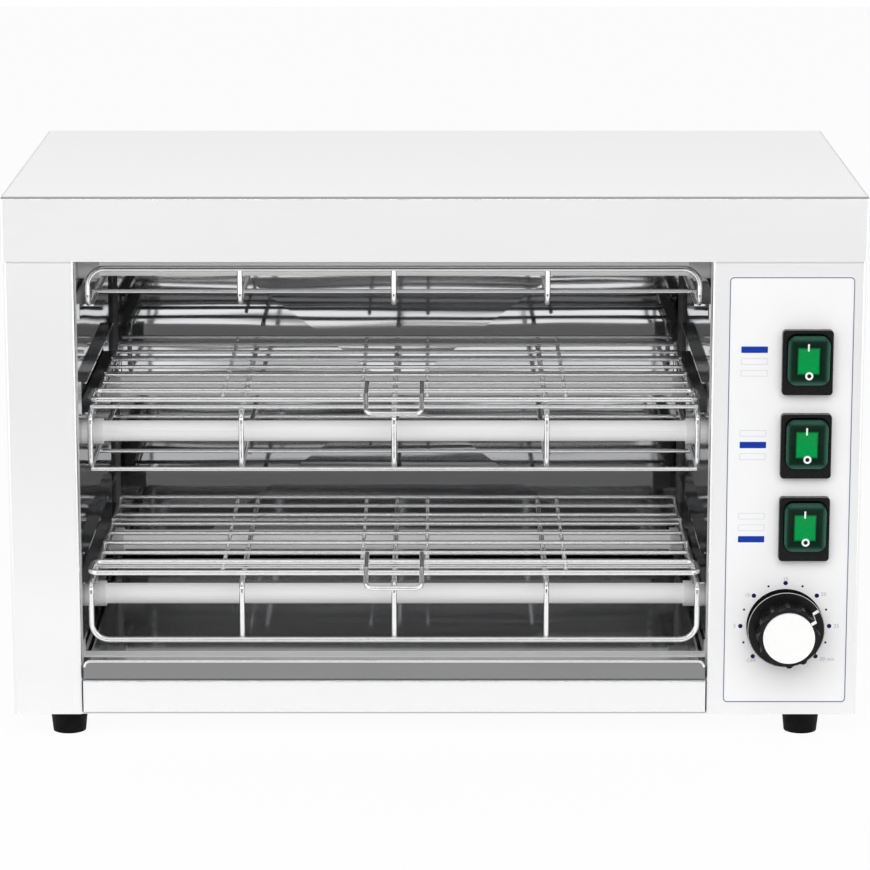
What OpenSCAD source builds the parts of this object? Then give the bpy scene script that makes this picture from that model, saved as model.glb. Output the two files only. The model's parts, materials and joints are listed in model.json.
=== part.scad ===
// Two-level quartz-tube salamander grill: a stainless casing with an open front, two wire racks
// between three rows of quartz heaters, a crumb tray and a control panel with switches and a timer.
// X runs to the right, Y from the front to the back, Z up. The feet stand on z = 0.

/* [Casing] */
// Width over the two side panels
body_w = 488; // [470:1:520]
// Depth from the front panels to the back panel
body_d = 273; // [262:1:300]
// Height of the casing from its underside to the top of the cover
body_h = 303; // [300:1:330]
// Thickness of the stainless sheet
sheet_t = 1; // [0.8:0.1:1.2]
// Outside radius of a sheet bend
bend_r = 2; // [1.6:0.1:2.6]
// Width of the pillar left of the opening
pillar_w = 40; // [36:1:50]
// Width of the control panel right of the opening
control_w = 87; // [84:1:100]
// Height of the skirt round the cover
skirt_h = 37; // [28:1:42]
// Gap between the skirt and the panels inside it
cover_gap = 0.1; // [0.05:0.05:0.3]
// Depth of the flange that turns in beside the opening
return_d = 10; // [8:1:14]
// Width of the flange that carries the back panel
rear_flange_w = 14; // [12:1:18]
// Least width of the flange under a side panel
bottom_flange_w = 46; // [44:1:50]
// Height of the apron below the crumb tray
apron_h = 21; // [18:1:24]
// Gap beside the apron
apron_gap = 0.4; // [0.2:0.1:1]
// Depth of the flange under the apron
apron_flange_d = 26; // [24:1:30]
// Depth of the shelf on top of the apron
apron_shelf_d = 12; // [10:1:12]
// Height of the flanges round the base pan
base_flange_h = 12; // [8:1:14]
// Clearance between sheets that are pushed together
sheet_gap = 0.2; // [0.1:0.1:0.4]

/* [Feet] */
// Height of a foot
foot_h = 14; // [10:1:25]
// Diameter of a foot where it meets the casing
foot_top_dia = 22; // [18:1:24]
// Diameter of a foot on the table
foot_low_dia = 19; // [15:1:22]
// Distance of a foot's centre from the side of the casing
foot_inset_x = 30.5; // [28:0.5:32]
// Distance of a foot's centre from the front or the back
foot_inset_y = 17; // [16:0.5:20]
// Depth of the screw pocket in a foot
foot_pocket_h = 7; // [5:0.5:8]
// Diameter of the screw pocket in a foot
foot_pocket_dia = 10; // [9:0.5:11]

/* [Heating chamber] */
// Distance from the chamber's back wall to the rear of the casing
rear_space = 11; // [11:1:20]
// Height of the ceiling above the top heaters
ceiling_gap = 16; // [14:1:20]
// Gap between the back wall and each side wall
corner_gap = 3; // [2:0.5:5]
// Width of the flanges on the chamber's side walls
wall_flange = 9; // [6:1:10]
// Distance from the ends of a side wall to its flanges
wall_flange_inset = 34; // [30:1:50]
// Depth of the flanges behind the chamber's back wall
back_flange = 5; // [4:0.5:5]
// Height of the crossed crease that stiffens the chamber's back wall
crease_rise = 1; // [0.5:0.25:2]

/* [Heaters] */
// Height of the bottom heaters above the casing's underside
heater_z = 60.5; // [58:0.5:64]
// Distance from the top of the casing down to the top heaters
heater_top_drop = 47; // [45:0.5:52]
// Distance from the front panels to the front heaters
heater_front_d = 45.5; // [42:0.5:55]
// Distance from the front heaters to the rear heaters
heater_pitch_d = 130; // [100:1:140]
// Outside diameter of a quartz tube
tube_dia = 12; // [10:0.5:13]
// Wall of a quartz tube
tube_wall = 1.2; // [0.8:0.1:1.5]
// Diameter of a ceramic end
ceramic_dia = 15; // [14.5:0.5:18]
// Length of a ceramic end inside the chamber
ceramic_in = 12; // [8:0.5:14]
// Length of a ceramic end behind the wall
ceramic_out = 10; // [8:0.5:14]
// Depth of the socket that takes the quartz tube
socket_d = 9; // [6:0.5:10]
// Diameter of the shoulder behind the wall
shoulder_dia = 19; // [19:0.5:24]
// Thickness of the shoulder behind the wall
shoulder_t = 3; // [2:0.5:4]
// Diameter of the wound heating core
core_dia = 6; // [4:0.5:7]
// Diameter of the pin at each end of a core
pin_dia = 3; // [2.5:0.25:4]
// Length of the pin outside its ceramic end
pin_out = 7; // [6:0.5:9]
// Width of the strips on the pins
strip_w = 9.5; // [8:0.5:12]
// Clearance round tubes, ceramics and pins
heater_gap = 0.2; // [0.1:0.05:0.3]

/* [Wire work] */
// Wire of the guard frames and of the racks' front loops
frame_dia = 3.2; // [2.8:0.1:3.6]
// Wire of the bars
bar_dia = 2.4; // [2:0.1:2.8]
// Depth that one wire is welded into another
weld = 0.3; // [0.2:0.05:0.4]
// Gap between the guards and the side walls
guard_side_gap = 5; // [4:0.5:7]
// Distance between the three long wires of a guard
guard_pitch = 88; // [70:1:100]
// Depth of a guard
guard_depth = 204; // [190:1:208]
// Distance from the front panels to the upper guards
guard_front_d = 20.5; // [18:0.5:24]
// Distance from the front panels to the bottom guard
bottom_guard_front_d = 6.5; // [5:0.5:9]
// Height of the top guard's front hoop
hoop_h = 21; // [16:0.5:22]
// Corner radius of the front hoops
hoop_r = 10; // [6:0.5:12]
// Bend radius of the guards' long wires
guard_bend_r = 6; // [4:0.5:8]
// Distance from a heater row to the top guard's level above the bread
guard_drop = 18.5; // [15:0.5:20]
// Height of the bottom guard's front
bottom_hoop_h = 33.5; // [28:0.5:36]
// Number of cross bars on the top guard and on the bottom guard
guard_bars = 4; // [3:1:7]
// Distance from their fronts to the first cross bar
guard_bar_first = 30; // [22:1:40]
// Number of cross bars above and below the middle heaters
sleeve_bars = 5; // [3:1:7]

/* [Racks] */
// Depth of a rack
rack_depth = 190; // [170:1:200]
// Depth of the loop at the front of a rack
rack_loop_d = 25; // [20:1:30]
// Corner radius of that loop
rack_loop_r = 5; // [4:0.5:8]
// Gap between the rack's bars and the side walls
rack_side_gap = 10; // [9:0.5:14]
// Number of bars behind the loop
rack_bars = 7; // [5:1:9]
// Distance between the two inner long wires under a rack
rack_inner_pitch = 38; // [38:1:50]
// Distance between the two outer long wires under a rack
rack_outer_pitch = 199; // [160:1:240]
// Distance from the front of a rack to the ends of its long wires
rack_wire_inset = 10; // [2:0.5:16]
// Distance from the front panels to the front bar of the upper rack
upper_rack_d = 22; // [21:0.5:26]
// Distance from the front panels to the front bar of the lower rack
lower_rack_d = 2; // [2:0.5:6]
// Wire of a rack handle
handle_dia = 2.8; // [2.4:0.1:3.2]
// Distance between the two prongs of a handle
handle_w = 32; // [26:1:34]
// Reach of a handle in front of its rack
handle_reach = 16; // [12:1:18]
// Length of a handle behind the front bar
handle_tail = 32; // [28:1:44]
// Drop of a handle's grip
handle_drop = 8; // [4:0.5:9]
// Bend radius of a handle
handle_r = 4; // [3.5:0.5:6]
// Running clearance of the racks, the tray and the rockers
slide_gap = 0.3; // [0.2:0.05:0.5]

/* [Rails] */
// Width of a rail's flange under the wires
rail_flange = 9; // [8:0.5:10]
// Height of a rail above that flange
rail_h = 18; // [16:1:20]
// Width of a rail's upper lip
rail_lip = 4; // [3:0.5:4.5]
// Height of the ledges under the top guard
ledge_h = 9; // [6:1:12]

/* [Crumb tray] */
// Height of the tray's front
tray_front_h = 11; // [10:0.1:15]
// Gap between the tray's front and the panels beside it
tray_side_gap = 0.8; // [0.5:0.1:1.5]
// Corner radius of the tray's front
tray_corner_r = 4; // [3:0.5:6]
// Height of the tray's walls
tray_wall_h = 6; // [5:0.5:7]
// Gap between the tray's walls and the chamber's walls
tray_wall_gap = 3; // [2.5:0.5:5]
// Gap between the tray and the chamber's back wall
tray_back_gap = 4; // [2:0.5:8]
// Width of the runners under the tray
runner_w = 10; // [8:0.5:12]
// Height of the runners beside the tray
runner_h = 7; // [5:0.5:8]
// Width of the cross bar behind the tray's front
cross_bar_w = 10; // [8:1:12]
// Distance from the front panels to the cross bar
cross_bar_d = 14; // [13:0.5:18]
// Height of the tabs that hold the cross bar
cross_tab_h = 8; // [5:1:10]

/* [Switches] */
// Distance from the right side of the casing to the switches
switch_inset = 32.6; // [28:0.1:38]
// Height of the middle switch as a share of the casing's height
switch_mid_share = 0.528; // [0.5:0.002:0.55]
// Height from one switch to the next as a share of the casing's height
switch_pitch_share = 0.1604; // [0.15:0.0002:0.17]
// Width of a switch bezel
bezel_w = 28.8; // [28:0.1:32]
// Height of a switch bezel
bezel_h = 37.3; // [36:0.1:40]
// Thickness of a switch bezel
bezel_t = 4.5; // [4:0.1:5]
// Corner radius of a switch bezel
bezel_r = 2; // [1:0.1:3]
// Depth of the recess round a rocker
recess_t = 3; // [2.5:0.1:3.2]
// Sideways place of a rocker in its bezel
rocker_off_x = 0.5; // [0:0.1:0.8]
// Height of a rocker above the middle of its bezel
rocker_off_z = 2.2; // [0:0.1:2.4]
// Width of a rocker
rocker_w = 23.8; // [20:0.1:24.6]
// Height of a rocker
rocker_h = 27.8; // [24:0.1:29]
// Corner radius of a rocker
rocker_r = 5; // [3:0.1:6]
// Thickness of a rocker's cap at its edges
rocker_t = 4.6; // [3.5:0.1:6]
// Tilt of a rocker each way
rocker_tilt = 6; // [4:0.5:6]
// Width of a rocker's stem
stem_w = 18.4; // [16:0.2:18.4]
// Free height above and below a rocker's stem
stem_gap = 4; // [3:0.5:4.5]
// Free height under a rocker's cap
rocker_lift = 1.8; // [1.8:0.1:2.4]
// Gap between a rocker and its recess
rocker_gap = 0.8; // [0.7:0.1:0.9]
// Width of a switch body behind the panel
switch_body_w = 24; // [22:0.5:25]
// Height of a switch body behind the panel
switch_body_h = 33; // [30:0.5:34]
// Depth of a switch body behind the panel
switch_body_d = 28; // [22:1:32]
// Width of a blade terminal
blade_w = 4.8; // [4:0.1:6.3]
// Length of a blade terminal
blade_l = 7; // [6:0.5:9]
// Thickness of a blade terminal
blade_t = 0.8; // [0.6:0.1:1]

/* [Timer] */
// Distance from the right side of the casing to the timer
timer_inset = 42.2; // [36:0.1:44]
// Height of the timer above the casing's underside
timer_z = 53; // [48:0.5:56]
// Diameter of the knob's skirt
knob_skirt_dia = 44.5; // [40:0.5:46]
// Thickness of the knob's skirt
knob_skirt_t = 8.5; // [6:0.5:10]
// Diameter of the knob's grip
knob_grip_dia = 36; // [34:0.5:38]
// Height of the knob's grip above its skirt
knob_grip_h = 17; // [14:0.5:20]
// Number of flutes in the grip
knob_flutes = 12; // [8:1:14]
// Radius of a flute
knob_flute_r = 6; // [5:0.5:7]
// Turn of the flutes that sets a lobe under the pointer
knob_flute_turn = 47; // [0:1:90]
// Depth of a flute
knob_flute_t = 1.6; // [1:0.1:2]
// Bevel round the front of the knob's skirt
knob_bevel = 0.5; // [0.3:0.1:2]
// Wall of the knob's hollow skirt
knob_wall = 2.5; // [2:0.1:3]
// Diameter of the disc on the knob
knob_cap_dia = 29.5; // [26:0.5:31]
// Thickness of the disc on the knob
knob_cap_t = 1.6; // [1:0.1:2]
// Gap between the knob and the panel
knob_gap = 0.6; // [0.4:0.1:1]
// Diameter of the timer's shaft
shaft_dia = 6; // [5:0.5:8]
// Width and height of the timer's body
timer_body_w = 46; // [40:1:48]
// Depth of the timer's body
timer_body_d = 34; // [28:1:40]
// Diameter of the timer's threaded neck
neck_dia = 10; // [9.5:0.5:12]
// Distance across the flats of the neck's nut
neck_nut_w = 14; // [13:0.5:16]
// Thickness of the neck's nut
neck_nut_t = 3; // [2:0.5:4]

/* [Overlay] */
// Thickness of the printed overlay on the control panel
overlay_t = 0.3; // [0.2:0.1:0.5]
// Distance from the opening to the overlay
overlay_left = 9.5; // [6:0.5:12]
// Distance from the right side of the casing to the overlay
overlay_right = 6; // [5:0.5:10]
// Height of the overlay's lower edge above the casing's underside
overlay_low = 7; // [4:0.5:10]
// Distance from the cover's skirt down to the overlay
overlay_top = 8.5; // [6:0.5:12]
// Corner radius of the overlay
overlay_r = 2.5; // [1:0.5:5]

/* [Back and fasteners] */
// Diameter of the gland's hole in the back panel
gland_dia = 16; // [12:0.5:20]
// Distance from the right side of the casing to the gland
gland_inset = 42; // [34:1:50]
// Height of the gland above the casing's underside
gland_z = 42; // [34:1:60]
// Reach of the gland behind the back panel
gland_reach = 12; // [8:1:20]
// Bore of the gland
gland_bore = 7.5; // [6:0.5:9]
// Distance across the flats of the gland's hexagons
gland_hex_w = 20; // [20:0.5:24]
// Length of the gland's thread inside the casing
gland_thread_l = 9; // [7:0.5:9]
// Thickness of the gland's nut
gland_nut_t = 4; // [3:0.5:5]
// Distance from the terminal block to the rear of the casing
terminal_d = 60; // [50:1:90]
// Width of the terminal block
terminal_w = 32; // [28:1:40]
// Height and depth of the terminal block
terminal_h = 16; // [12:1:20]
// Number of poles in the terminal block
terminal_poles = 3; // [2:1:4]
// Diameter of a hole in the terminal block
terminal_hole_dia = 5; // [3:0.5:6]
// Length of a ventilation slot
vent_l = 44; // [30:1:54]
// Width of a ventilation slot
vent_w = 4; // [3:0.5:5]
// Number of ventilation slots in a group
vent_count = 8; // [4:1:9]
// Distance between ventilation slots
vent_pitch = 10; // [8:0.5:11]
// Height of the lowest ventilation slot
vent_z = 150; // [130:1:160]
// Diameter of a screw's thread
screw_dia = 4; // [3:0.5:4]
// Diameter of a screw's head
screw_head_dia = 7.5; // [7:0.5:9]
// Height of a screw's head
screw_head_t = 2; // [1.5:0.1:2.5]
// Length of the cross recess in a screw's head
cross_l = 4.2; // [3:0.1:5]
// Width of the cross recess
cross_w = 1; // [0.6:0.1:1.4]
// Depth of the cross recess
cross_t = 1; // [0.6:0.1:1.2]
// Length of a casing screw's thread
screw_l = 7; // [6:0.5:8]
// Length of a foot screw's thread
foot_screw_l = 11; // [9.5:0.5:14]
// Clearance round a screw's thread
screw_gap = 0.2; // [0.1:0.05:0.3]
// Distance from the base screws to the front panels
base_screw_d = 19; // [17:0.5:21]
// Distance from the ends of the apron to its outer base screws
base_screw_inset = 19.5; // [17:0.5:60]
// Height of the lowest back screws above the casing's underside
low_screw_z = 36; // [30:1:60]

/* [Hidden] */
$fn = 48;

// Colours of the finishes
STEEL = [0.93, 0.93, 0.94];
MIRROR = [0.62, 0.63, 0.65];
CHROME = [0.85, 0.86, 0.88];
OPAL = [0.93, 0.92, 0.9];
CERAMIC = [0.96, 0.95, 0.92];
BLACK = [0.08, 0.08, 0.09];
GREEN = [0.02, 0.45, 0.22];
WHITE = [0.96, 0.96, 0.96];
BRASS = [0.78, 0.66, 0.35];

// Overall frame: the knob reaches furthest forward and the gland furthest back
knob_reach = overlay_t + knob_gap + knob_skirt_t + knob_grip_h + knob_cap_t;
front_y = (knob_reach - body_d - gland_reach) / 2;
back_y = front_y + body_d;
left_x = -body_w / 2;
right_x = body_w / 2;
inner_r = bend_r - sheet_t;
over = 1;

// Heights and depths are measured from the casing's underside and its front panels
function at_z(h) = foot_h + h;
function at_y(d) = front_y + d;

// Chamber
open_left = left_x + pillar_w;
open_right = right_x - control_w;
wall_left = open_left - sheet_t;
wall_right = open_right + sheet_t;
mid_x = (open_left + open_right) / 2;
chamber_w = wall_right - wall_left;
chamber_d = body_d - rear_space;
heater_pitch_z = (body_h - heater_top_drop - heater_z) / 2;
cover_under = body_h - sheet_t;
panel_top = cover_under - inner_r;
skirt_low = body_h - skirt_h;
base_top = 2 * sheet_t;
ceiling_z = heater_row(2) + ceiling_gap;
function heater_row(i) = heater_z + i * heater_pitch_z;
function heater_depth(j) = heater_front_d + j * heater_pitch_d;
function flange_under(front_w) = max(bottom_flange_w, front_w);

// Wire work
guard_half = chamber_w / 2 - guard_side_gap - frame_dia / 2;
guard_rear_d = guard_front_d + guard_depth;
lay_rise = (frame_dia + bar_dia) / 2;
bar_rise = lay_rise - weld;
top_guard_z = heater_row(2) - guard_drop;
middle_low_z = heater_row(1) - guard_drop + lay_rise;
middle_high_z = heater_row(1) + guard_drop - lay_rise;
bottom_guard_z = heater_row(0) + guard_drop - bar_rise;
function rack_z(i) = at_z(heater_row(i) + guard_drop + bar_dia + slide_gap);
rack_half = chamber_w / 2 - rack_side_gap;
handle_rise = bar_rise + (frame_dia + handle_dia) / 2;
rail_rear_d = guard_rear_d - hoop_r;

// Tray
tray_low_z = apron_h + slide_gap;
tray_half = chamber_w / 2 - tray_wall_gap;
tray_lip_half = (open_right - open_left) / 2 - tray_side_gap;
tray_rear_d = chamber_d - tray_back_gap;
cross_bar_z = tray_low_z + tray_front_h - 2 * sheet_t;

// Controls
switch_x = right_x - switch_inset;
timer_x = right_x - timer_inset;
panel_front_d = -overlay_t;
bezel_front_d = panel_front_d - bezel_t;
recess_floor_d = bezel_front_d + recess_t;
rocker_back_d = recess_floor_d - rocker_lift;
rocker_pivot_d = sheet_t;
stem_h = rocker_h / 2;
knob_back_d = panel_front_d - knob_gap;
skirt_front_d = knob_back_d - knob_skirt_t;
grip_front_d = skirt_front_d - knob_grip_h;
shaft_tip_d = skirt_front_d - knob_grip_h / 2;
shaft_end_d = timer_body_d / 2;
neck_end_d = panel_front_d - neck_nut_t - sheet_t;
function switch_row(i) = body_h * (switch_mid_share + (i - 1) * switch_pitch_share);

// Fasteners
screw_hole = screw_dia + 2 * screw_gap;
base_screw_pitch = (open_right - open_left) / 2 - base_screw_inset;
rear_screw_z = [cover_under - skirt_h / 2, cover_under / 2, low_screw_z];
rear_screw_x = right_x - rear_flange_w / 2;
gland_x = right_x - gland_inset;

// Plain shapes
module block(lo, hi) {
    translate(lo) cube(hi - lo);
}

module round_rect(w, h, r) {
    square([w - 2 * r, h], center = true);
    square([w, h - 2 * r], center = true);
    for (x = [-1, 1])
        for (y = [-1, 1])
            translate([x * (w / 2 - r), y * (h / 2 - r)]) circle(r);
}

// Rounded rectangle between two corners
module round_span(lo, hi, r) {
    translate((lo + hi) / 2) round_rect(hi[0] - lo[0], hi[1] - lo[1], r);
}

// Bent sheet: the outline of a closed box section with round bends, cut open by its children
module bent_section(lo, hi) {
    difference() {
        round_span(lo, hi, bend_r);
        round_span(lo + [sheet_t, sheet_t], hi - [sheet_t, sheet_t], inner_r);
        children();
    }
}

// Slot with round ends
module slot(length, width) {
    square([length - width, width], center = true);
    for (x = [-1, 1]) translate([x * (length - width) / 2, 0]) circle(d = width);
}

// Hexagon by the distance across its flats
module hexagon(across) {
    circle(d = across / cos(30), $fn = 6);
}

// Stand an outline in the XZ plane up, from depth d0 to d1
module face_plate(d0, d1) {
    translate([0, at_y(d1), 0]) rotate([90, 0, 0]) linear_extrude(d1 - d0) children();
}

// Run an outline in the YZ plane from x0 to x1
module cross_run(x0, x1) {
    translate([x0, 0, 0]) rotate([90, 0, 90]) linear_extrude(x1 - x0) children();
}

// Round rod along Y between two depths
module y_rod(x, z, d0, d1, dia) {
    translate([x, at_y(d1), z]) rotate([90, 0, 0]) cylinder(h = d1 - d0, d = dia);
}

// Round rod along X
module x_rod(x0, x1, y, z, dia) {
    translate([x0, y, z]) rotate([0, 90, 0]) cylinder(h = x1 - x0, d = dia);
}

// Bent wire: straight runs with round elbows along a path
function unit(v) = v / norm(v);
function side_of(v) = unit(abs(v[2]) < norm(v) / 2 ? cross(v, [0, 0, 1]) : cross(v, [1, 0, 0]));
function heading(path, i) = unit(path[i + 1] - path[i]);
function bend_angle(path, i) = acos(heading(path, i - 1) * heading(path, i));
function trim(path, radii, i) =
    i == 0 || i == len(path) - 1 ? 0 : radii[i - 1] * tan(bend_angle(path, i) / 2);
function frame_at(x, y, z, p) =
    [[x[0], y[0], z[0], p[0]], [x[1], y[1], z[1], p[1]], [x[2], y[2], z[2], p[2]], [0, 0, 0, 1]];

module run(p, q, dia) {
    z = unit(q - p);
    x = side_of(z);
    multmatrix(frame_at(x, cross(z, x), z, p)) cylinder(h = norm(q - p), d = dia);
}

module elbow(path, i, r, dia) {
    u = heading(path, i - 1);
    w = unit(cross(u, heading(path, i)));
    n = cross(w, u);
    centre = path[i] - u * r * tan(bend_angle(path, i) / 2) + n * r;
    multmatrix(frame_at(-n, u, w, centre))
        rotate_extrude(angle = bend_angle(path, i)) translate([r, 0]) circle(d = dia);
}

module wire(path, radii, dia) {
    for (i = [0 : len(path) - 2]) {
        u = heading(path, i);
        run(path[i] + u * trim(path, radii, i), path[i + 1] - u * trim(path, radii, i + 1), dia);
    }
    for (i = [1 : len(path) - 2]) elbow(path, i, radii[i - 1], dia);
}

// Casing
module top_cover() {
    grow = sheet_t + cover_gap;
    lo = [left_x - grow, front_y - grow, at_z(skirt_low)];
    hi = [right_x + grow, back_y + grow, at_z(body_h)];
    t = [sheet_t, sheet_t, sheet_t];
    color(STEEL) difference() {
        cover_form(lo, hi, bend_r);
        cover_form(lo + [sheet_t, sheet_t, -over], hi - t, inner_r);
        for (x = [-1, 0, 1])
            y_rod(x * rear_screw_x, at_z(rear_screw_z[0]), body_d - over, body_d + 2 * over + grow,
                screw_hole);
    }
}

// Box with round top edges and round corners, straight at its lower edge
module cover_form(lo, hi, r) {
    sunk = lo[2] - bend_r;
    intersection() {
        translate([0, 0, lo[2]]) linear_extrude(hi[2] - lo[2])
            round_span([lo[0], lo[1]], [hi[0], hi[1]], r);
        translate([0, hi[1], 0]) rotate([90, 0, 0]) linear_extrude(hi[1] - lo[1])
            round_span([lo[0], sunk], [hi[0], hi[2]], r);
        cross_run(lo[0], hi[0]) round_span([lo[1], sunk], [hi[1], hi[2]], r);
    }
}

// Side panel with its front face, the flange beside the opening and the flange for the back panel
module side_panel(front_w) {
    rear = back_y - sheet_t;
    translate([0, 0, at_z(0)]) linear_extrude(panel_top)
        bent_section([0, front_y], [front_w, rear])
            translate([rear_flange_w, at_y(sheet_t + return_d)]) square([front_w, body_d]);
    translate([0, 0, at_z(0)]) linear_extrude(sheet_t)
        round_span([inner_r, front_y + inner_r], [flange_under(front_w), rear - inner_r], inner_r);
}

module side_panel_holes() {
    for (d = [foot_inset_y, body_d - foot_inset_y])
        translate([foot_inset_x, at_y(d), foot_h - over]) cylinder(h = 2 * over + sheet_t, d = screw_hole);
    for (z = rear_screw_z)
        y_rod(rear_flange_w / 2, at_z(z), body_d - 2 * sheet_t - over, body_d, screw_hole);
}

module left_side_panel() {
    color(STEEL) translate([left_x, 0, 0]) difference() {
        side_panel(pillar_w);
        side_panel_holes();
    }
}

module right_side_panel() {
    color(STEEL) difference() {
        translate([right_x, 0, 0]) mirror([1, 0, 0]) difference() {
            side_panel(control_w);
            side_panel_holes();
        }
        for (i = [0 : 2]) switch_hole(i);
        y_rod(timer_x, at_z(timer_z), -over, 2 * sheet_t, neck_dia + 2 * screw_gap);
    }
}

module switch_hole(i) {
    face_plate(-over, 2 * sheet_t)
        translate([switch_x, at_z(switch_row(i))])
            square([switch_body_w + 2 * sheet_gap, switch_body_h + 2 * sheet_gap], center = true);
}

module base_pan() {
    half = body_w / 2 - sheet_t - sheet_gap;
    low = at_z(sheet_t);
    front_d = sheet_t + return_d + 2 * sheet_gap;
    rear_d = body_d - 2 * sheet_t - sheet_gap - inner_r;
    color(STEEL) difference() {
        union() {
            face_plate(front_d, rear_d)
                bent_section([-half, low], [half, low + base_flange_h + bend_r])
                    translate([-half, low + base_flange_h]) square([2 * half, body_h]);
            block([-half + bend_r, at_y(rear_d - sheet_t), low],
                [half - bend_r, at_y(rear_d), low + base_flange_h]);
        }
        for (x = [-1, 1])
            for (d = [foot_inset_y, body_d - foot_inset_y])
                translate([x * (right_x - foot_inset_x), at_y(d), low - over])
                    cylinder(h = sheet_t + 2 * over, d = screw_hole);
        for (i = [-1 : 1])
            translate([mid_x + i * base_screw_pitch, at_y(base_screw_d), low - over])
                cylinder(h = sheet_t + 2 * over, d = screw_hole);
    }
}

// Apron in front of the base pan, with a shelf above and a flange under the pan
module front_apron() {
    lo = [at_y(0), at_z(0)];
    hi = [at_y(apron_flange_d), at_z(apron_h)];
    relief = flange_under(pillar_w) - pillar_w + sheet_gap;
    color(STEEL) difference() {
        cross_run(open_left + apron_gap, open_right - apron_gap) bent_section(lo, hi) {
            translate([at_y(apron_shelf_d), at_z(sheet_t)]) square([body_d, body_h]);
            translate([at_y(apron_flange_d - bend_r), at_z(-over)]) square([body_d, body_h]);
        }
        block([open_left, at_y(sheet_t), at_z(-over)],
            [open_left + relief, at_y(body_d), at_z(sheet_t + over)]);
        for (i = [-1 : 1])
            translate([mid_x + i * base_screw_pitch, at_y(base_screw_d), at_z(-over)])
                cylinder(h = sheet_t + 2 * over, d = screw_hole);
    }
}

module vent_slots(x) {
    for (i = [0 : vent_count - 1])
        translate([x, at_z(vent_z + i * vent_pitch)]) slot(vent_l, vent_w);
}

module back_panel() {
    color(STEEL) difference() {
        face_plate(body_d - sheet_t, body_d)
            difference() {
                translate([left_x + inner_r, at_z(0)]) square([body_w - 2 * inner_r, panel_top]);
                vent_slots((open_right + right_x) / 2);
                vent_slots(mid_x - vent_l);
                vent_slots(mid_x + vent_l);
            }
        for (z = rear_screw_z)
            for (x = [-1, 1])
                y_rod(x * rear_screw_x, at_z(z), body_d - 2 * over, body_d + over, screw_hole);
        y_rod(0, at_z(rear_screw_z[0]), body_d - 2 * over, body_d + over, screw_hole);
        y_rod(gland_x, at_z(gland_z), body_d - 2 * over, body_d + over, gland_dia + 2 * screw_gap);
    }
}

// Chamber
module inner_wall(x) {
    front_d = bend_r;
    difference() {
        union() {
            block([x, at_y(front_d), at_z(base_top)], [x + sheet_t, at_y(chamber_d), at_z(ceiling_z)]);
            for (z = [base_top, ceiling_z - sheet_t])
                block([x < mid_x ? x - wall_flange : x, at_y(wall_flange_inset), at_z(z)],
                    [x < mid_x ? x + sheet_t : x + sheet_t + wall_flange,
                        at_y(chamber_d - wall_flange_inset), at_z(z + sheet_t)]);
        }
        for (i = [0 : 2])
            for (j = [0, 1])
                x_rod(x - over, x + sheet_t + over, at_y(heater_depth(j)), at_z(heater_row(i)),
                    ceramic_dia + 2 * heater_gap);
    }
}

module inner_left_wall() {
    color(MIRROR) inner_wall(wall_left - sheet_t);
}

module inner_right_wall() {
    color(MIRROR) inner_wall(wall_right);
}

// Upright sheet from lo to hi, creased from corner to corner so that its middle stands forward by rise
module creased_sheet(lo, hi, rise) {
    corners = [[lo[0], lo[2]], [hi[0], lo[2]], [hi[0], hi[2]], [lo[0], hi[2]]];
    middle = (corners[0] + corners[2]) / 2;
    front = [for (c = corners) [c[0], lo[1], c[1]]];
    rear = [for (c = corners) [c[0], hi[1], c[1]]];
    peaks = [for (y = [lo[1], hi[1]]) [middle[0], y - rise, middle[1]]];
    n = len(corners);
    faces = [for (i = [0 : n - 1], next = (i + 1) % n)
        each [[next, i, 2 * n], [n + i, n + next, 2 * n + 1], [i, next, n + next, n + i]]];
    polyhedron(concat(front, rear, peaks), faces);
}

module inner_back_wall() {
    lo = [wall_left + corner_gap, at_y(chamber_d), at_z(base_top)];
    hi = [wall_right - corner_gap, at_y(chamber_d + sheet_t), at_z(ceiling_z)];
    flange_y = at_y(chamber_d + sheet_t / 2);
    color(MIRROR) {
        creased_sheet(lo, hi, crease_rise);
        block([lo[0], flange_y, lo[2]], [hi[0], hi[1] + back_flange, lo[2] + sheet_t]);
        block([lo[0], flange_y, hi[2] - sheet_t], [hi[0], hi[1] + back_flange, hi[2]]);
    }
}

// Ceiling on the side walls' flanges, with a header that closes the front behind the cover's skirt
module ceiling_plate() {
    rear_d = chamber_d + sheet_t;
    wide_d = sheet_t + return_d + sheet_gap;
    color(MIRROR) {
        cross_run(open_left + apron_gap, open_right - apron_gap)
            bent_section([at_y(0), at_z(ceiling_z)], [at_y(rear_d), at_z(cover_under)])
                translate([at_y(sheet_t), at_z(ceiling_z + sheet_t)]) square([body_d, body_h]);
        block([wall_left - wall_flange, at_y(wide_d), at_z(ceiling_z)],
            [wall_right + wall_flange, at_y(rear_d - bend_r), at_z(ceiling_z + sheet_t)]);
    }
}

// Angle strip across the chamber, above the tray's walls
module front_cross_bar() {
    z = at_z(cross_bar_z);
    color(STEEL) {
        block([wall_left, at_y(cross_bar_d), z], [wall_right, at_y(cross_bar_d + cross_bar_w), z + sheet_t]);
        for (x = [wall_left, wall_right - sheet_t])
            block([x, at_y(cross_bar_d), z], [x + sheet_t, at_y(cross_bar_d + cross_bar_w), z + cross_tab_h]);
    }
}

// Channel rail on the left wall, its flange under the guard's side wire
module channel_rail(guard_z, start_d) {
    z = at_z(guard_z - frame_dia / 2);
    color(MIRROR) translate([wall_left, 0, 0]) {
        block([0, at_y(start_d), z - sheet_t], [rail_flange, at_y(rail_rear_d), z]);
        block([0, at_y(start_d), z - sheet_t], [sheet_t, at_y(rail_rear_d), z + rail_h]);
        block([0, at_y(start_d), z + rail_h - sheet_t], [rail_lip, at_y(rail_rear_d), z + rail_h]);
    }
}

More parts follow.
